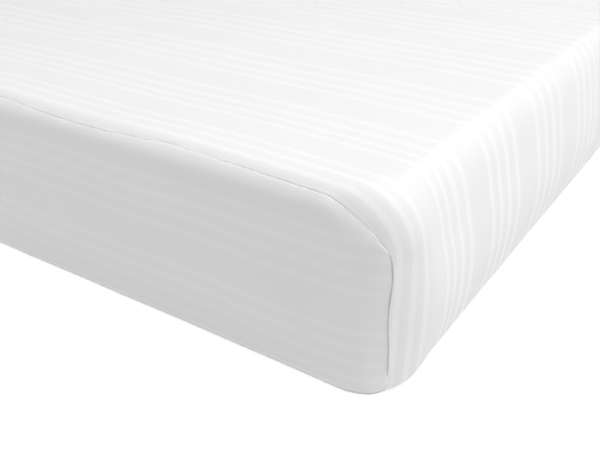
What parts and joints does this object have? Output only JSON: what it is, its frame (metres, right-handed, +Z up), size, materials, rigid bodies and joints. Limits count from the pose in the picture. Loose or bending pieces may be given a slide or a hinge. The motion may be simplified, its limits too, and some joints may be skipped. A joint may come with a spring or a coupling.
{
  "type": "memory foam mattress",
  "caption": "Double memory foam mattress with rounded edges, layered foam core and a striped zip-off knitted cover; the zip slides and its pull swings.",
  "frame": {"origin": "middle of the underside, on the surface that the mattress lies on", "axes": "+Z up, +Y along the length towards the head end, +X across the width towards the long side without the zip"},
  "size_m": [1.3559, 1.9005, 0.25],
  "materials": {
    "cover_cloth": "matte",
    "base_cloth": "matte",
    "seam_thread": "satin",
    "zip_tape": "matte",
    "zip_coil": "satin",
    "zip_metal": "satin",
    "label_satin": "satin",
    "sock_knit": "matte",
    "memory_foam": "matte",
    "transition_foam": "matte",
    "support_foam": "matte",
    "glue_film": "satin"
  },
  "bodies": {
    "mattress": {"top_wrap_panel": "cover_cloth", "foot_end_panel": "cover_cloth", "head_end_panel": "cover_cloth", "zip_lower_band": "cover_cloth", "base_panel": "base_cloth", "foot_end_seam": "seam_thread", "head_end_seam": "seam_thread", "base_seam": "seam_thread", "zip_tape_upper": "zip_tape", "zip_tape_lower": "zip_tape", "zip_coil_upper": "zip_coil", "zip_coil_lower": "zip_coil", "zip_top_stops": "zip_metal", "zip_bottom_stop": "zip_metal", "zip_topstitching": "seam_thread", "care_label": "label_satin", "inner_sock": "sock_knit", "sock_end_seams": "seam_thread", "memory_foam_layer": "memory_foam", "upper_glue_film": "glue_film", "transition_foam_layer": "transition_foam", "lower_glue_film": "glue_film", "support_core": "support_foam"},
    "slider": {"zip_slider": "zip_metal"},
    "pull": {"zip_pull": "zip_metal"}
  },
  "joints": [
    {"name": "zip_slide", "type": "slide", "parent": "mattress", "child": "slider", "axis": [0, 1, 0], "range_m": [0, 1.7]},
    {"name": "pull_swing", "type": "hinge", "parent": "slider", "child": "pull", "pos_m": [-0.67855, -0.8516, 0.045], "axis": [0, 0, 1], "range_deg": [0, 180]}
  ]
}
